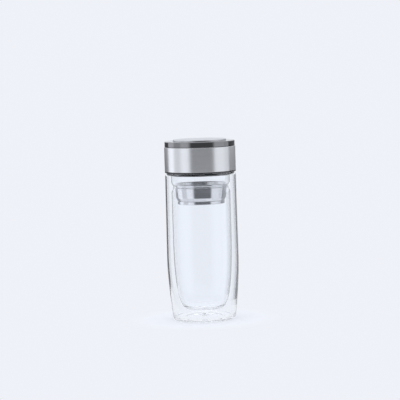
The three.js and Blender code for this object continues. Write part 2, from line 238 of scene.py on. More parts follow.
def apply_modifier(piece, kind, **settings):
    """Gives the piece a modifier with these settings and applies it."""
    bpy.ops.object.select_all(action="DESELECT")
    bpy.context.view_layer.objects.active = piece
    piece.select_set(True)
    modifier = piece.modifiers.new(kind.lower(), kind)
    for name, value in settings.items():
        setattr(modifier, name, value)
    bpy.ops.object.modifier_apply(modifier=modifier.name)


def drop_slivers():
    """Dissolves the tiny edges and empty faces that a cut or a bevel leaves on the active piece."""
    bpy.ops.object.mode_set(mode="EDIT")
    bpy.ops.mesh.select_all(action="SELECT")
    bpy.ops.mesh.dissolve_degenerate(threshold=SLIVER)
    bpy.ops.object.mode_set(mode="OBJECT")


def combine(piece, tool, operation):
    """Joins the tool to the piece, or cuts the piece with it, and removes the tool."""
    apply_modifier(piece, "BOOLEAN", operation=operation, object=tool, solver="EXACT")
    bpy.data.objects.remove(tool)
    drop_slivers()
    bpy.ops.object.shade_smooth_by_angle(angle=SMOOTH_ANGLE)
    print(f"{piece.name}: {len(piece.data.polygons)} faces after {operation.lower()}")


print("after a cut, edges shorter than", SLIVER / MM, "mm are dissolved")

# %% [markdown]
# ## The glass body
#
# Two blown walls are welded at the neck with air between them. The plain solids keep the walls apart by a
# hair, but a real tumbler is one piece of glass, and a gap there would show as a bright line. So the glass
# is one outline: up the inside of the cup, over the fire-polished rim, down the outside, under the foot,
# in through the vent hole and round the air space. Both walls then have a true thickness, and that is what
# bends the light into the dark lines along the edges of the glass.

# %% Sizes of the glass
BELLY = radius_of("outer_glass_wall")
NECK = radius_of("inner_glass_wall")
MOUTH_LEVEL = top_of("inner_glass_wall")
CUP_UNDERSIDE = foot_of("inner_glass_wall")
MOUTH = 27.9
CUP = 27.9
CUP_WALL = 1
FLOOR_THICKNESS = 2.4
FLOOR_FLAT = 17.5
FLOOR_REACH = 24
FLOOR_RISE = 26
TAPER_TOP = 81.1
WAIST = 26.1
WAIST_LEVEL = 130.9
WAIST_HALF = 6
OUTER_WALL = 1.5
SHOULDER = 34.9
SHOULDER_LEVEL = 145.2
SHOULDER_INSIDE_CORNER = 1.7
NECK_FILLET = 0.9
BELLY_LEVEL = 62
TAPER_TURN = 42
HEEL = 31.4
HEEL_WALL = 2.5
HEEL_LEVEL = 5
HEEL_LIFT = 0.8
FOOT = 27.6
BASE_TOP = 3.2
PUNT = 18.5
PUNT_SLOPE = 3
PUNT_DEPTH = 1.5
VENT = 2.2
RIM_ROUND = 1.2
WELD_ROUND = 0.9

print(f"the glass is {2 * BELLY:.1f} mm across and {MOUTH_LEVEL:.1f} mm high")


# %% Outline of the glass
def cup_side(wall, floor):
    """The inner wall from mid-floor up to the neck: its inside or, with a wall thickness, its outside."""
    body, waist, neck = CUP + wall, WAIST + wall, MOUTH + wall
    low, high, half = WAIST_LEVEL - WAIST_HALF, WAIST_LEVEL + WAIST_HALF, WAIST_HALF / 2
    flat, turn_in = (FLOOR_FLAT, floor), (FLOOR_REACH + wall, floor)
    return [
        (0, floor),
        flat,
        *bezier(flat, turn_in, (body, floor + FLOOR_RISE), (body, TAPER_TOP), steps=28),
        (body, low),
        *bezier((body, low), (body, low + half), (waist, low + half), (waist, WAIST_LEVEL)),
        *bezier((waist, WAIST_LEVEL), (waist, high - half), (neck, high - half), (neck, high)),
    ]


def body_side(inset, heel_inset, floor):
    """The outer wall from its floor up to the shoulder's corner: its outside or, with insets, its inside."""
    foot, heel, belly, shoulder = FOOT - inset, HEEL - heel_inset, BELLY - inset, SHOULDER - inset
    heel_top = HEEL_LEVEL + HEEL_LIFT * floor
    lean = (heel_top - floor) * (belly - heel) / (TAPER_TURN - heel_top)
    top, bend = SHOULDER_LEVEL - inset, SHOULDER_INSIDE_CORNER + OUTER_WALL - inset
    corner = (shoulder, top - bend)
    return [
        (foot, floor),
        *bezier((foot, floor), (heel - lean, floor), (heel, heel_top)),
        *bezier((heel, heel_top), (belly, TAPER_TURN), (belly, BELLY_LEVEL), steps=20),
        corner,
        *bezier(corner, (shoulder, top), (shoulder - bend, top), steps=8),
    ]


def glass_outline():
    """The whole glass, from the middle of the cup's floor to the middle of its underside."""
    rim_start, rim_end = (MOUTH, MOUTH_LEVEL - RIM_ROUND), (NECK - RIM_ROUND, MOUTH_LEVEL)
    fillet = (NECK, SHOULDER_LEVEL + NECK_FILLET)
    underside = rounded(
        (PUNT, 0, 0.6),
        (PUNT - PUNT_SLOPE, PUNT_DEPTH, 0.8),
        (VENT, PUNT_DEPTH, 0.3),
        (VENT, BASE_TOP, 0.3),
        (FOOT - OUTER_WALL, BASE_TOP, 0),
    )
    weld, weld_level = MOUTH + CUP_WALL, SHOULDER_LEVEL - OUTER_WALL
    weld_start, weld_end = (weld + WELD_ROUND, weld_level), (weld, weld_level - WELD_ROUND)
    return [
        *cup_side(0, CUP_UNDERSIDE + FLOOR_THICKNESS),
        rim_start,
        *bezier(rim_start, (MOUTH, MOUTH_LEVEL), (MOUTH + RIM_ROUND, MOUTH_LEVEL), steps=6),
        rim_end,
        *bezier(rim_end, (NECK, MOUTH_LEVEL), (NECK, MOUTH_LEVEL - RIM_ROUND), steps=6),
        fillet,
        *bezier(fillet, (NECK, SHOULDER_LEVEL), (NECK + NECK_FILLET, SHOULDER_LEVEL), steps=5),
        *reversed(body_side(0, 0, 0)),
        *underside[:-1],
        *body_side(OUTER_WALL, HEEL_WALL, BASE_TOP),
        weld_start,
        *bezier(weld_start, (weld, weld_level), weld_end, steps=6),
        *reversed(cup_side(CUP_WALL, CUP_UNDERSIDE)),
    ]


print("the glass has an outline of", len(glass_outline()), "points")

# %% Turn the glass and give its neck a thread
THREAD_BELOW_MOUTH = 5.3
THREAD_LEVEL = MOUTH_LEVEL - THREAD_BELOW_MOUTH - THREAD_LEAD * THREAD_TURNS

glass = turn("double_wall_glass", glass_outline(), FINE_STEPS)
combine(glass, thread_ridge("neck_thread", NECK, THREAD_LEVEL, 1), "UNION")

# %% [markdown]
# ## The vent plug
#
# Air has to leave the space between the walls while the glass is hot, so the base has a small hole. A soft
# plug closes it: a flat head in the hollow under the base, a stem, and a barb that grips from inside. Three
# stacked cylinders would give that shape, but one turned outline has no joins and gets soft edges, as moulded
# rubber has.

# %% Vent plug
PLUG_HEAD = radius_of("vent_plug")
PLUG_STEM = 1.9
PLUG_BARB = 2.8
PLUG_TIP = 1.2
PLUG_STEPS = 64
plug_low, plug_high = foot_of("vent_plug"), top_of("vent_plug")
head_top, barb_low = PUNT_DEPTH - GAP, BASE_TOP + GAP

plug = turn("vent_plug_soft", rounded(
    (0, plug_low, 0),
    (PLUG_HEAD, plug_low, 0.35),
    (PLUG_HEAD, head_top, 0.25),
    (PLUG_STEM, head_top, 0.15),
    (PLUG_STEM, barb_low, 0.1),
    (PLUG_BARB, barb_low, 0.2),
    (PLUG_TIP, plug_high, 0.4),
    (0, plug_high, 0),
), PLUG_STEPS)

# %% [markdown]
# ## The infuser
#
# The infuser is a drawn steel cup. Its lip is curled over, a soft collar sits in a groove under the lip and
# grips the waist of the glass, and its lower edge holds a perforated plate by a pressed ring. A tube with a
# Solidify modifier would have no lip, so the section of the sheet is drawn inside and outside. Sheet metal
# has no sharp bends, so every corner is eased. The throat widens a little towards the lip: what it mirrors is
# then the light that comes through the clear glass above the lip, and not the dark inside of the cap.

# %% Infuser cup
SHEET = 0.6
LIP = radius_of("infuser_cup")
LIP_HEIGHT = 1.6
THROAT = 24.8
THROAT_FLARE = 0.4
STEP_HEIGHT = 0.4
CUP_BODY = 25.4
CUP_TAPER = 0.8
WALL_HEIGHT = 9.8
CONE_HEIGHT = 3
SPIGOT = radius_of("infuser_strainer_plate")
RING = radius_of("infuser_base_ring")
collar_low, collar_top = foot_of("infuser_collar"), top_of("infuser_collar")
lip_top, spigot_low = top_of("infuser_cup"), foot_of("infuser_cup")
lip_low = lip_top - LIP_HEIGHT
throat_low = collar_low - GAP
wall_top = throat_low - STEP_HEIGHT
wall_low = wall_top - WALL_HEIGHT
spigot_top = wall_low - CONE_HEIGHT

infuser = turn_ring("infuser_drawn_cup", rounded(
    (SPIGOT, spigot_low, 0.2),
    (SPIGOT, spigot_top, 0.15),
    (RING, spigot_top, 0.2),
    (CUP_BODY - CUP_TAPER, wall_low, 0.7),
    (CUP_BODY, wall_top, 0.3),
    (THROAT, throat_low, 0.3),
    (THROAT, lip_low, 0.4),
    (LIP, lip_low, 0.75),
    (LIP, lip_top, 0.75),
    (THROAT - SHEET, lip_top, 0.5),
    (THROAT - SHEET - THROAT_FLARE, throat_low - SHEET, 0.3),
    (CUP_BODY - SHEET, wall_top - SHEET, 0.3),
    (CUP_BODY - CUP_TAPER - SHEET, wall_low + SHEET, 0.5),
    (SPIGOT - SHEET, spigot_top + SHEET, 0.5),
    (SPIGOT - SHEET, spigot_low, 0.2),
    steps=5,
))

# %% Soft collar
COLLAR = radius_of("infuser_collar")
COLLAR_BULGE = 0.1
collar_bore = THROAT + GAP
collar_middle = (collar_low + collar_top) / 2

collar = turn_ring("infuser_soft_collar", rounded(
    (collar_bore, collar_low, 0.1),
    (COLLAR - COLLAR_BULGE, collar_low, 0.3),
    (COLLAR, collar_middle, 0.25),
    (COLLAR - COLLAR_BULGE, collar_top, 0.3),
    (collar_bore, collar_top, 0.1),
))

# %% Base ring that holds the plate
LEDGE_WIDTH = 2.9
LEDGE_HEIGHT = 0.8
ring_low, ring_top = foot_of("infuser_base_ring"), top_of("infuser_base_ring")
ring_bore = SPIGOT + GAP
ledge_bore = ring_bore - LEDGE_WIDTH
ledge_top = ring_low + LEDGE_HEIGHT

base_ring = turn_ring("infuser_pressed_ring", rounded(
    (ledge_bore, ring_low, 0.25),
    (RING, ring_low, 0.6),
    (RING, ring_top, 0.25),
    (ring_bore, ring_top, 0.15),
    (ring_bore, ledge_top, 0.2),
    (ledge_bore, ledge_top, 0.25),
))

# %% [markdown]
# ## The strainer plate
#
# The plate is a turned disc with a hole pattern cut through it. One drill is modelled and copied to every
# place of a triangular grid, the copies are joined, and a single Boolean difference makes all the holes. One
# cut for each hole would give the same plate, but it would take far longer. A small bevel then breaks the
# edges, as punching and polishing do.

# %% Plate and one drill
PLATE = radius_of("infuser_strainer_plate")
HOLE = 0.9
HOLE_SIDES = 18
DRILL_LENGTH = 3
plate_low, plate_top = foot_of("infuser_strainer_plate"), top_of("infuser_strainer_plate")

plate = turn("infuser_punched_plate", [
    (0, plate_low),
    (PLATE, plate_low),
    (PLATE, plate_top),
    (0, plate_top),
])

bpy.ops.object.select_all(action="DESELECT")
bpy.ops.mesh.primitive_cylinder_add(
    vertices=HOLE_SIDES,
    radius=HOLE * MM,
    depth=DRILL_LENGTH * MM,
    location=(0, 0, (plate_low + plate_top) / 2 * MM),
    calc_uvs=False,
)
drill = bpy.context.object

# %% Copy the drill over the grid and cut all the holes
HOLE_PITCH = 4.2
HOLE_BEVEL = 0.08
PLATE_MARGIN = 2.6


def hole_places():
    """Places in millimetres on a triangular grid, kept off the edge of the plate."""
    reach = PLATE - PLATE_MARGIN - HOLE
    rows = math.ceil(reach / HOLE_PITCH) + 1
    for row in range(-rows, rows + 1):
        for column in range(-2 * rows, 2 * rows + 1):
            x, y = (column + row / 2) * HOLE_PITCH, row * HOLE_PITCH * math.sin(math.pi / 3)
            if math.hypot(x, y) <= reach:
                yield x, y


holes = list(hole_places())
for x, y in holes:
    copy = drill.copy()
    copy.data = drill.data.copy()
    copy.location += Vector((x, y, 0)) * MM
    bpy.context.collection.objects.link(copy)
    copy.select_set(True)
bpy.data.objects.remove(drill)
bpy.context.view_layer.objects.active = copy
bpy.ops.object.join()
print("the plate gets", len(holes), "holes")
combine(plate, copy, "DIFFERENCE")
bevel = {"width": HOLE_BEVEL * MM, "segments": 2, "limit_method": "ANGLE", "angle_limit": SMOOTH_ANGLE}
apply_modifier(plate, "BEVEL", **bevel)
drop_slivers()

# %% [markdown]
# ## The inside of the cap
#
# The cap is built round a dark plastic liner. Its threaded wall screws onto the neck, its plate presses a
# gasket onto the rim, and its thin dark flange makes the dark line that shows below the steel: a dark strip
# that stands in partly for painted shade in the gap under the sleeve. Wall, plate and flange are one
# moulding, so they are one outline too, and only the thread, which isn't round, is swept and united with it.

# %% Threaded liner
LINER_BORE = 32.3
LINER = 34.2
LINER_PLATE = 2
FLANGE = radius_of("cap_liner")
# Painted shade: the thin dark flange stands in partly for the shade in the gap below the sleeve
FLANGE_HEIGHT = 0.9
THREAD_CLEARANCE = 0.35
liner_low, liner_top = foot_of("cap_liner"), top_of("cap_liner")
gasket_low, gasket_top = foot_of("cap_gasket"), top_of("cap_gasket")
flange_top = liner_low + FLANGE_HEIGHT
plate_under = gasket_top + GAP
plate_over = plate_under + LINER_PLATE

liner = turn("cap_threaded_liner", rounded(
    (0, plate_under, 0),
    (LINER_BORE, plate_under, 0.3),
    (LINER_BORE, liner_low, 0.4),
    (FLANGE, liner_low, 0.3),
    (FLANGE, flange_top, 0.25),
    (LINER, flange_top, 0.2),
    (LINER, liner_top, 0.3),
    (LINER_BORE, liner_top, 0.3),
    (LINER_BORE, plate_over, 0.3),
    (0, plate_over, 0),
))
thread_drop = (THREAD_BASE + THREAD_CREST) / 2 + THREAD_CLEARANCE
combine(liner, thread_ridge("liner_thread", LINER_BORE, THREAD_LEVEL - thread_drop, -1), "UNION")

# %% Gasket with a groove in its sealing face
GROOVE_HALF = 0.7
GROOVE_FLOOR_HALF = 0.4
GROOVE_DEPTH = 0.4
gasket_bore = MOUTH + GAP
gasket_rim = radius_of("cap_gasket")
gasket_middle = (gasket_bore + gasket_rim) / 2

gasket = turn_ring("cap_soft_gasket", rounded(
    (gasket_bore, gasket_low, 0.3),
    (gasket_middle - GROOVE_HALF, gasket_low, 0.2),
    (gasket_middle - GROOVE_FLOOR_HALF, gasket_low + GROOVE_DEPTH, 0.15),
    (gasket_middle + GROOVE_FLOOR_HALF, gasket_low + GROOVE_DEPTH, 0.15),
    (gasket_middle + GROOVE_HALF, gasket_low, 0.2),
    (gasket_rim, gasket_low, 0.3),
    (gasket_rim, gasket_top, 0.3),
    (gasket_bore, gasket_top, 0.3),
))

# %% [markdown]
# ## The outside of the cap
#
# The sleeve is a drawn tube with its edges rolled in, which gives the thin bright line along its top. A dark
# polished ring sits on it, a little narrower, and a pressed steel disc stands proud of the ring. Bevelled
# cylinders would come close, but the width of an edge decides how it catches the light, so every corner gets
# a rounding of its own.

# %% Sleeve
SLEEVE = radius_of("cap_sleeve")
SLEEVE_SHEET = 0.5
SLEEVE_EDGE = 0.45
SLEEVE_INSIDE_EDGE = 0.04
sleeve_low, sleeve_top = foot_of("cap_sleeve"), top_of("cap_sleeve")
sleeve_bore = SLEEVE - SLEEVE_SHEET

sleeve = turn_ring("cap_brushed_sleeve", rounded(
    (sleeve_bore, sleeve_low, SLEEVE_INSIDE_EDGE),
    (SLEEVE, sleeve_low, SLEEVE_EDGE),
    (SLEEVE, sleeve_top, SLEEVE_EDGE),
    (sleeve_bore, sleeve_top, SLEEVE_INSIDE_EDGE),
    steps=6,
), FINE_STEPS)

# %% Crown ring
CROWN = radius_of("cap_crown_ring")
CROWN_WALL = 1.6
DISC = radius_of("cap_top_disc")
SEAT_WIDTH = 2
SEAT_THICKNESS = 1.3
crown_low, crown_top = foot_of("cap_crown_ring"), top_of("cap_crown_ring")
disc_low, disc_top = foot_of("cap_top_disc"), top_of("cap_top_disc")
band_low = sleeve_top + GAP
crown_spigot = LINER_BORE - GAP
spigot_inside = crown_spigot - CROWN_WALL
recess, seat_bore = DISC + GAP, DISC - SEAT_WIDTH
seat_top = disc_low - GAP
seat_low = seat_top - SEAT_THICKNESS

crown = turn_ring("cap_dark_ring", rounded(
    (spigot_inside, crown_low, 0.3),
    (crown_spigot, crown_low, 0.3),
    (crown_spigot, band_low, 0.2),
    (CROWN, band_low, 0.25),
    (CROWN, crown_top, 0.7),
    (recess, crown_top, 0.25),
    (recess, seat_top, 0.15),
    (seat_bore, seat_top, 0.2),
    (seat_bore, seat_low, 0.2),
    (spigot_inside, seat_low, 0.2),
    steps=6,
), FINE_STEPS)

# %% Top disc with a pressed groove
DISC_SHEET = 0.6
DISC_GROOVE_INSET = 1.6
DISC_GROOVE_HALF = 0.3
DISC_GROOVE_DEPTH = 0.2
skirt = DISC - DISC_SHEET
disc_groove = DISC - DISC_GROOVE_INSET

disc = turn("cap_pressed_disc", rounded(
    (0, disc_top - DISC_SHEET, 0),
    (skirt, disc_top - DISC_SHEET, 0.3),
    (skirt, disc_low, 0.1),
    (DISC, disc_low, 0.1),
    (DISC, disc_top, 0.6),
    (disc_groove + DISC_GROOVE_HALF, disc_top, 0.2),
    (disc_groove, disc_top - DISC_GROOVE_DEPTH, 0.1),
    (disc_groove - DISC_GROOVE_HALF, disc_top, 0.2),
    (0, disc_top, 0),
    steps=6,
), FINE_STEPS)

# %% [markdown]
# ## Writing a finish
#
# A finish is a small tree of nodes, and by hand they are added and wired one by one. This class lets the tree
# be written as Python: a Wire holds a node's output, an operator between wires or numbers adds a Math node,
# and one method makes any other node.

# %% Wires that work in expressions
class Wire:
    """A node's output, for use in expressions."""

    def __init__(self, tree, socket=None):
        self.tree = tree
        self.socket = socket

    def node(self, kind, settings, sockets, output=0):
        """A new node: its settings are set first, then its sockets are given values or wires."""
        made = self.tree.nodes.new(kind)
        for name, value in settings.items():
            if name == "stops":
                set_stops(made.color_ramp, value)
            else:
                setattr(made, name, value)
        for name, value in sockets.items():
            if isinstance(value, Wire):
                self.tree.links.new(value.socket, made.inputs[name])
            else:
                made.inputs[name].default_value = value
        return Wire(self.tree, made.outputs[output] if made.outputs else None)

    def also(self, output):
        """Another output of the same node."""
        return Wire(self.tree, self.socket.node.outputs[output])

    def math(self, operation, *values):
        """A Math node on values or wires."""
        return self.node("ShaderNodeMath", {"operation": operation}, dict(enumerate(values)))

    def __add__(self, other):
        return self.math("ADD", self, other)

    def __sub__(self, other):
        return self.math("SUBTRACT", self, other)

    def __rsub__(self, other):
        return self.math("SUBTRACT", other, self)

    def __mul__(self, other):
        return self.math("MULTIPLY", self, other)

    __radd__ = __add__
    __rmul__ = __mul__


def set_stops(ramp, stops):
    """Gives a colour ramp grey stops of (position, level)."""
    while len(ramp.elements) < len(stops):
        ramp.elements.new(1)
    for element, (position, level) in zip(ramp.elements, stops):
        element.position = position
        element.color = (level, level, level, 1)


def new_finish(name):
    """An empty material, and a wire to start its tree with."""
    material = bpy.data.materials.new(name)
    material.use_nodes = True
    material.node_tree.nodes.clear()
    return material, Wire(material.node_tree)


print("wires can be added, subtracted and multiplied")


# %% Patterns that the finishes share
def place(wires):
    """The point on the piece, in metres."""
    return wires.node("ShaderNodeTexCoord", {}, {}, "Object")


def radius_at(wires):
    """The distance from the upright axis, in metres."""
    axes = wires.node("ShaderNodeSeparateXYZ", {}, {0: place(wires)})
    return wires.math("SQRT", axes * axes + axes.also("Y") * axes.also("Y"))


def stretched_noise(wires, scale, detail=3):
    """Noise from 0 to 1 whose grains are 1 / scale metres long along each axis."""
    spot = wires.node("ShaderNodeMapping", {}, {"Vector": place(wires), "Scale": scale})
    return wires.node("ShaderNodeTexNoise", {}, {"Vector": spot, "Scale": 1, "Detail": detail})


def blend(wires, share, first, second):
    """A colour between two colours."""
    return wires.node("ShaderNodeMix", {"data_type": "RGBA"}, {0: share, 6: (*first, 1), 7: (*second, 1)}, 2)


def bumps(wires, height, depth):
    """A normal that follows a height from 0 to 1, for a relief of that depth in millimetres."""
    return wires.node("ShaderNodeBump", {}, {"Height": height, "Distance": depth * MM, "Strength": 1})


def principled(wires, sockets):
    """A Principled shader with these sockets set."""
    return wires.node("ShaderNodeBsdfPrincipled", {}, sockets)


def surface(wires, shader):
    """Ends a finish with this shader."""
    wires.node("ShaderNodeOutputMaterial", {}, {"Surface": shader})


print("finishes can use stretched noise, blends of two colours and relief")

# %% [markdown]
# ## Clear glass
#
# Blown glass is clear and smooth, but never quite even: a slow waviness of a few thousandths of a millimetre
# runs through it. A Glass shader would bend the light as well, but the Principled one can also keep
# reflections on the front of the glass faint, as they are when the room behind the camera is dim. Shadow rays
# pass straight through, because light that is bent by a wall would never find its way to the infuser.

# %% Glass finish
WAVE_DEPTH = 0.007


def glass_finish():
    material, wires = new_finish("clear_blown_glass")
    waves = stretched_noise(wires, (38, 38, 14), detail=1)
    bent = principled(wires, {
        "Base Color": (0.985, 0.992, 1, 1),
        "Roughness": 0,
        "IOR": 1.47,
        "Transmission Weight": 1,
        "Specular Tint": (0.25, 0.26, 0.28, 1),
        "Normal": bumps(wires, waves, WAVE_DEPTH),
    })
    straight = wires.node("ShaderNodeBsdfTransparent", {}, {"Color": (0.93, 0.95, 0.96, 1)})
    shadow = wires.node("ShaderNodeLightPath", {}, {}, "Is Shadow Ray")
    surface(wires, wires.node("ShaderNodeMixShader", {}, {0: shadow, 1: bent, 2: straight}))
    return material


clear_glass = glass_finish()
print("glass finish made")

# %% [markdown]
# ## Steel
#
# The sleeve is brushed round the cap: the lines run sideways, so its grain is long round the axis and very
# fine in height. Brushing spreads a reflection across the lines, so the metal is anisotropic. The disc is
# brushed in circles instead. The infuser is polished outside, with faint drawing marks and a little haze, and
# satin inside its throat, where the polishing wheel doesn't reach. There its colour is also painted lighter,
# a painted light on the shaded inside of the throat. A picture of brushed metal could be wrapped round the
# cap, but noise that is stretched along the lines has no seam and stays sharp close up.

# %% Brushed sleeve and disc
DISC_RINGS_PER_METRE = 4200


def brushed_finish():
    material, wires = new_finish("brushed_steel_sleeve")
    lines = stretched_noise(wires, (70, 70, 5200), detail=4)
    haze = stretched_noise(wires, (45, 45, 45), detail=2)
    surface(wires, principled(wires, {
        "Base Color": blend(wires, lines, (0.70, 0.705, 0.72), (0.82, 0.825, 0.835)),
        "Metallic": 1,
        "Roughness": 0.26 + 0.1 * lines + 0.05 * haze,
        "Anisotropic": 0.9,
        "Anisotropic Rotation": 0.25,
        "Normal": bumps(wires, lines, 0.002),
    }))
    return material


def spun_finish():
    material, wires = new_finish("spun_steel_disc")
    grooves = {"W": radius_at(wires) * DISC_RINGS_PER_METRE, "Scale": 1, "Detail": 3}
    rings = wires.node("ShaderNodeTexNoise", {"noise_dimensions": "1D"}, grooves)
    haze = stretched_noise(wires, (40, 40, 40), detail=2)
    surface(wires, principled(wires, {
        "Base Color": blend(wires, rings, (0.60, 0.605, 0.62), (0.70, 0.705, 0.715)),
        "Metallic": 1,
        "Roughness": 0.34 + 0.1 * rings + 0.05 * haze,
        "Normal": bumps(wires, rings, 0.003),
    }))
    return material


brushed_steel, spun_steel = brushed_finish(), spun_finish()
print("brushed finishes made")

# %% Polished infuser with a satin throat, painted lighter inside
SATIN_AND_PAINTED_LIGHT_MARGIN = 0.05
SATIN_AND_PAINTED_LIGHT_RADIUS = CUP_BODY - SHEET + SATIN_AND_PAINTED_LIGHT_MARGIN
SATIN_AND_PAINTED_LIGHT_LEVEL = (wall_low + wall_top) / 2


def polished_finish():
    material, wires = new_finish("polished_steel_infuser")
    marks = stretched_noise(wires, (90, 90, 1500), detail=3)
    haze = stretched_noise(wires, (60, 60, 60), detail=3)
    in_wall = wires.math("LESS_THAN", radius_at(wires), SATIN_AND_PAINTED_LIGHT_RADIUS * MM)
    height = wires.node("ShaderNodeSeparateXYZ", {}, {0: place(wires)}).also("Z")
    # Inside the throat the steel is satin, and its colour is also painted lighter: painted light on the
    # shaded inside of the throat
    satin_and_painted_light = in_wall * wires.math("GREATER_THAN", height, SATIN_AND_PAINTED_LIGHT_LEVEL * MM)
    surface(wires, principled(wires, {
        "Base Color": blend(wires, 0.4 * haze + 0.6 * satin_and_painted_light, (0.70, 0.70, 0.715), (0.86, 0.86, 0.87)),
        "Metallic": 1,
        "Roughness": 0.05 + 0.05 * marks + 0.05 * haze + 0.16 * satin_and_painted_light,
        "Normal": bumps(wires, marks, 0.0015),
    }))
    return material


polished_steel = polished_finish()
print(f"polished finish made, satin above {SATIN_AND_PAINTED_LIGHT_LEVEL:.1f} mm inside the infuser")

# %% [markdown]
# ## Dark ring, plastic and silicone
#
# The ring is plated dark and polished. The liner is moulded plastic with the fine grain of a spark-eroded
# mould. The plug, collar and gasket are silicone, nearly as clear as the glass and a little cloudy. One
# colour each would nearly do for such narrow pieces, but some haze and grain make them look made, not drawn.

# %% Dark plating, plastic and silicone
def dark_plating_finish():
    material, wires = new_finish("dark_polished_plating")
    haze = stretched_noise(wires, (55, 55, 55), detail=3)
    marks = stretched_noise(wires, (80, 80, 2400), detail=3)
    surface(wires, principled(wires, {
        "Base Color": blend(wires, haze, (0.235, 0.235, 0.24), (0.27, 0.27, 0.275)),
        "Metallic": 1,
        "Roughness": 0.06 + 0.05 * haze + 0.03 * marks,
        "Normal": bumps(wires, marks, 0.001),
    }))
    return material


def plastic_finish():
    material, wires = new_finish("dark_moulded_plastic")
    grain = stretched_noise(wires, (2600, 2600, 2600), detail=2)
    tone = stretched_noise(wires, (50, 50, 50), detail=2)
    surface(wires, principled(wires, {
        "Base Color": blend(wires, tone, (0.026, 0.026, 0.028), (0.036, 0.036, 0.038)),
        "Roughness": 0.38 + 0.16 * grain,
        "Normal": bumps(wires, grain, 0.02),
    }))
    return material


def silicone_finish():
    material, wires = new_finish("clear_silicone")
    cloud = stretched_noise(wires, (160, 160, 160), detail=3)
    grain = stretched_noise(wires, (2200, 2200, 2200), detail=1)
    surface(wires, principled(wires, {
        "Base Color": blend(wires, cloud, (0.95, 0.955, 0.96), (0.99, 0.99, 0.99)),
        "Roughness": 0.02 + 0.05 * grain,
        "IOR": 1.41,
        "Transmission Weight": 0.98,
        "Normal": bumps(wires, grain, 0.001),
    }))
    return material


dark_plating, dark_plastic, silicone = dark_plating_finish(), plastic_finish(), silicone_finish()
print("dark and soft finishes made")

# %% [markdown]
# ## Dressing the frame
#
# Each new piece now gets its finish, takes the place of its plain solid, and rides on the body that carries
# it, so that it follows when the cap is unscrewed or the infuser is lifted.

# %% Finish, replace and ride
def dress(piece, finish, slot, body, *nodes):
    """Gives a piece its finish, puts it in the place of its plain solids and lets it ride on a body."""
    piece.data.materials.clear()
    piece.data.materials.append(finish)
    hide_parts(*nodes)
    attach(piece, body)
    print(f"{piece.name} rides on {body} and stands for {', '.join(nodes)}")


dress(glass, clear_glass, "clear_glass", "glass", "outer_glass_wall", "inner_glass_wall")
dress(plug, silicone, "clear_silicone", "glass", "vent_plug")
dress(infuser, polished_steel, "polished_steel", "infuser", "infuser_cup")
dress(collar, silicone, "clear_silicone", "infuser", "infuser_collar")
dress(plate, polished_steel, "polished_steel", "infuser", "infuser_strainer_plate")
dress(base_ring, polished_steel, "polished_steel", "infuser", "infuser_base_ring")
dress(liner, dark_plastic, "dark_plastic", "cap", "cap_liner")
dress(gasket, silicone, "clear_silicone", "cap_seal", "cap_gasket")
dress(sleeve, brushed_steel, "brushed_steel", "cap", "cap_sleeve")
dress(crown, dark_plating, "dark_chrome", "cap", "cap_crown_ring")
dress(disc, spun_steel, "polished_steel", "cap", "cap_top_disc")

# %% [markdown]
# ## The studio
#
# Glass and metal show the room more than themselves. A table-top photographer sets a pale sweep behind the
# glass, dark boards beside the sweep to draw the edges of the glass, and a large soft box on each side for
# the metal. Real boards and boxes would stand in view from some other side, so here the sky plays that room.
# Light Path tells its rays apart: the camera sees a plain pale ground, rays that pass straight through the
# glass see the bright sweep, the walls of the glass mirror the dark boards, and metal mirrors the soft boxes.

# %% Levels round the room
PALE = (0.86, 0.882, 0.935)
BRIGHTEST = 1.5
CLEAR_LEVEL = 1.03
ABOVE_AND_BELOW = 1.1

# What metal mirrors, as a level at an angle in degrees from the camera, positive to its right
SOFT_BOXES = [
    (-180, 1), (-172, 1), (-169, 0.15), (-128, 0.16), (-122, 1.4), (-98, 1.4), (-92, 0.88), (-70, 0.88),
    (-62, 1.25), (-40, 1.2), (-28, 0.19), (42, 0.19), (52, 1.1), (85, 1.1), (90, 0.9), (108, 1),
    (110, 0.2), (165, 0.24), (170, 1), (180, 1),
]
# What the walls of the glass mirror, with the dark boards that draw their edges
BOARDS = [
    (-180, 1), (-172, 1), (-169, 0.12), (-152, 0.12), (-147, 0.95), (-40, 1), (-28, 0.3), (42, 0.3),
    (52, 1), (104, 1), (114, 0.34), (165, 0.28), (170, 1), (180, 1),
]

print("the room has", len(SOFT_BOXES), "levels for metal and", len(BOARDS), "for the walls of the glass")

# %% The room as a sky
FULL_TURN = 360
# How far a ray has to point up, down or away from the camera, at most 1, to see these parts of the room
ROOM_CEILING = (0.4, 0.7)
ROOM_FLOOR = (0.4, 0.6)
FAR_SIDE = (0.3, 0.5)
OVER_BOARDS = (0, 0.12)
# How many faces of glass a ray has crossed: within the spread of 4 when a wall has mirrored it, over 5 by way
# of the inner wall, and over 7 by way of the infuser
WALL_CROSSINGS = 4
WALL_SPREAD = 2.5
INNER_WALL_CROSSINGS = 5
INFUSER_CROSSINGS = 7
INNER_WALL_LIGHT = 0.5
INFUSER_LIGHT = 0.25


def rising(wires, value, low, high):
    """A soft step from 0 to 1 as the value goes from low to high."""
    sockets = {"Value": value, "From Min": low, "From Max": high}
    return wires.node("ShaderNodeMapRange", {"interpolation_type": "SMOOTHSTEP"}, sockets)


def room_level(wires, azimuth, levels):
    """The level at an azimuth from 0 to 1, where 0.5 is the side that the camera is on."""
    stops = [(angle / FULL_TURN + 0.5, level / BRIGHTEST) for angle, level in levels]
    return wires.node("ShaderNodeValToRGB", {"stops": stops}, {0: azimuth}) * BRIGHTEST


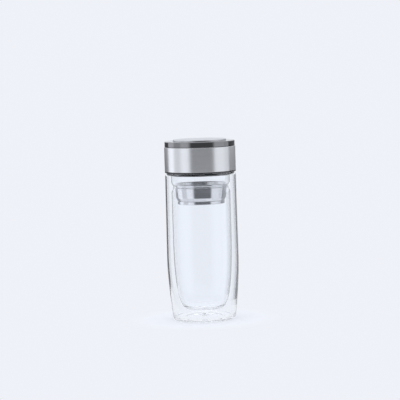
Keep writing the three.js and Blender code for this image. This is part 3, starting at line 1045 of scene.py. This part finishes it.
def mirrored_room(wires, rays):
    """What a ray sees of the room once metal or a wall of the glass has mirrored it."""
    x = wires.node("ShaderNodeSeparateXYZ", {}, {0: wires.node("ShaderNodeTexCoord", {}, {}, "Generated")})
    y, z = x.also("Y"), x.also("Z")
    azimuth = wires.math("ARCTAN2", x, 0 - y) * (1 / (2 * math.pi)) + 0.5
    soft_boxes, boards = room_level(wires, azimuth, SOFT_BOXES), room_level(wires, azimuth, BOARDS)
    crossings = rays.also("Transmission Depth")
    in_walls = wires.math("COMPARE", crossings, WALL_CROSSINGS, WALL_SPREAD)
    sides = soft_boxes + in_walls * (boards - soft_boxes)
    deep = wires.math("GREATER_THAN", crossings, INNER_WALL_CROSSINGS)
    deepest = wires.math("GREATER_THAN", crossings, INFUSER_CROSSINGS)
    inner_light = INNER_WALL_LIGHT * deep - (INNER_WALL_LIGHT - INFUSER_LIGHT) * deepest
    behind = rising(wires, y, *FAR_SIDE) * (rising(wires, z, *OVER_BOARDS) + inner_light)
    open_room = rising(wires, z, *ROOM_CEILING) + rising(wires, 0 - z, *ROOM_FLOOR) + behind
    return sides + wires.math("MINIMUM", open_room, 1) * (ABOVE_AND_BELOW - sides)


def light_room():
    """Gives the scene a sky that sorts its rays and shows each kind its own side of the room."""
    room = bpy.data.worlds.new("soft_box_room")
    room.use_nodes = True
    room.node_tree.nodes.clear()
    bpy.context.scene.world = room
    wires = Wire(room.node_tree)
    seen = wires.node("ShaderNodeLightPath", {}, {}, "Is Camera Ray")
    unmirrored = wires.math("LESS_THAN", seen.also("Glossy Depth"), 1)
    through = seen.also("Is Transmission Ray") * unmirrored
    strength = seen + through * CLEAR_LEVEL + (1 - seen - through) * mirrored_room(wires, seen)
    background = wires.node("ShaderNodeBackground", {}, {"Color": (*PALE, 1), "Strength": strength})
    wires.node("ShaderNodeOutputWorld", {}, {"Surface": background})


light_room()
print("the sky plays the room")

# %% [markdown]
# ## The table
#
# A pale round table keeps the tumbler's shadow. A wide plane would show its far edge behind the tumbler, so
# the table is small, and towards its edge it glows at the level of the ground, so that no edge shows. In the
# walls of the glass it glows all over, so that their dark lines end above the foot.

# %% Table
TABLE_RADIUS = 0.135
TABLE_SHIFT = -0.055
TABLE_DROP = 0.05 * MM
TABLE_SIDES = 128
LEAST_GLOW = 0.5
FULL_GLOW_RADIUS = TABLE_RADIUS - abs(TABLE_SHIFT)
GLOW_START_RADIUS = FULL_GLOW_RADIUS / 2


def table_finish():
    material, wires = new_finish("pale_table")
    outwards = rising(wires, radius_at(wires), GLOW_START_RADIUS, FULL_GLOW_RADIUS)
    glowing = LEAST_GLOW + (1 - LEAST_GLOW) * outwards
    seen = wires.node("ShaderNodeLightPath", {}, {}, "Is Camera Ray")
    lit = wires.node("ShaderNodeBsdfDiffuse", {}, {"Color": (*PALE, 1)})
    glow = wires.node("ShaderNodeEmission", {}, {"Color": (*PALE, 1), "Strength": 1})
    surface(wires, wires.node("ShaderNodeMixShader", {}, {0: 1 - seen * (1 - glowing), 1: lit, 2: glow}))
    return material


bpy.ops.object.select_all(action="DESELECT")
bpy.ops.mesh.primitive_circle_add(
    vertices=TABLE_SIDES, radius=TABLE_RADIUS, fill_type="NGON", calc_uvs=False
)
table = bpy.context.object
table.name = "table"
table.location = (TABLE_SHIFT, 0, -TABLE_DROP)
bpy.ops.object.transform_apply(location=True)
table.data.materials.append(table_finish())
print(f"the table is {2 * TABLE_RADIUS / MM:.0f} mm across")

# %% [markdown]
# ## Lamp and camera
#
# One wide lamp overhead gives the table its soft shadow. Metal doesn't mirror the lamp, because so bright a
# disc would burn out the top of the cap. The camera stands a little above the cap and looks slightly down,
# from far enough away that the walls stay nearly parallel, and it is turned a touch about its own line of
# sight, because the tumbler leans a little in the picture. Light may bounce very often, because some of it
# runs far round inside the walls of the glass before it comes out.

# %% Lamp overhead
LAMP_PLACE = (0, -0.05, 0.9)
LAMP_SIZE = 0.7
LAMP_POWER = 3

bpy.ops.object.light_add(type="AREA", location=LAMP_PLACE)
lamp = bpy.context.object
lamp.name = "overhead_lamp"
lamp.data.shape = "DISK"
lamp.data.size = LAMP_SIZE
lamp.data.energy = LAMP_POWER
lamp.visible_camera = False
lamp.visible_glossy = False
print("the lamp gives", LAMP_POWER, "watts")

# %% Camera
CAMERA_PLACE = Vector((0, -1.8, 0.267))
CAMERA_AIM = Vector((-0.0012, 0, 0.1176))
CAMERA_ROLL = math.radians(-1.7)
CAMERA_LENS = 165

bpy.ops.object.camera_add(location=CAMERA_PLACE)
camera = bpy.context.object
camera.name = "camera"
camera.data.lens = CAMERA_LENS
camera.rotation_euler = (CAMERA_AIM - CAMERA_PLACE).to_track_quat("-Z", "Y").to_euler()
camera.rotation_euler.rotate_axis("Z", CAMERA_ROLL)
look_down = math.asin((CAMERA_PLACE - CAMERA_AIM).normalized().z)
print(f"the camera looks down by {math.degrees(look_down):.1f} degrees")

# %% Picture settings
LIGHT_BOUNCES = 128

scene = bpy.context.scene
scene.camera = camera
scene.view_settings.view_transform = "Standard"
scene.cycles.max_bounces = LIGHT_BOUNCES
scene.cycles.transmission_bounces = LIGHT_BOUNCES
scene.cycles.transparent_max_bounces = LIGHT_BOUNCES
scene.cycles.glossy_bounces = LIGHT_BOUNCES
print("light may bounce", LIGHT_BOUNCES, "times")
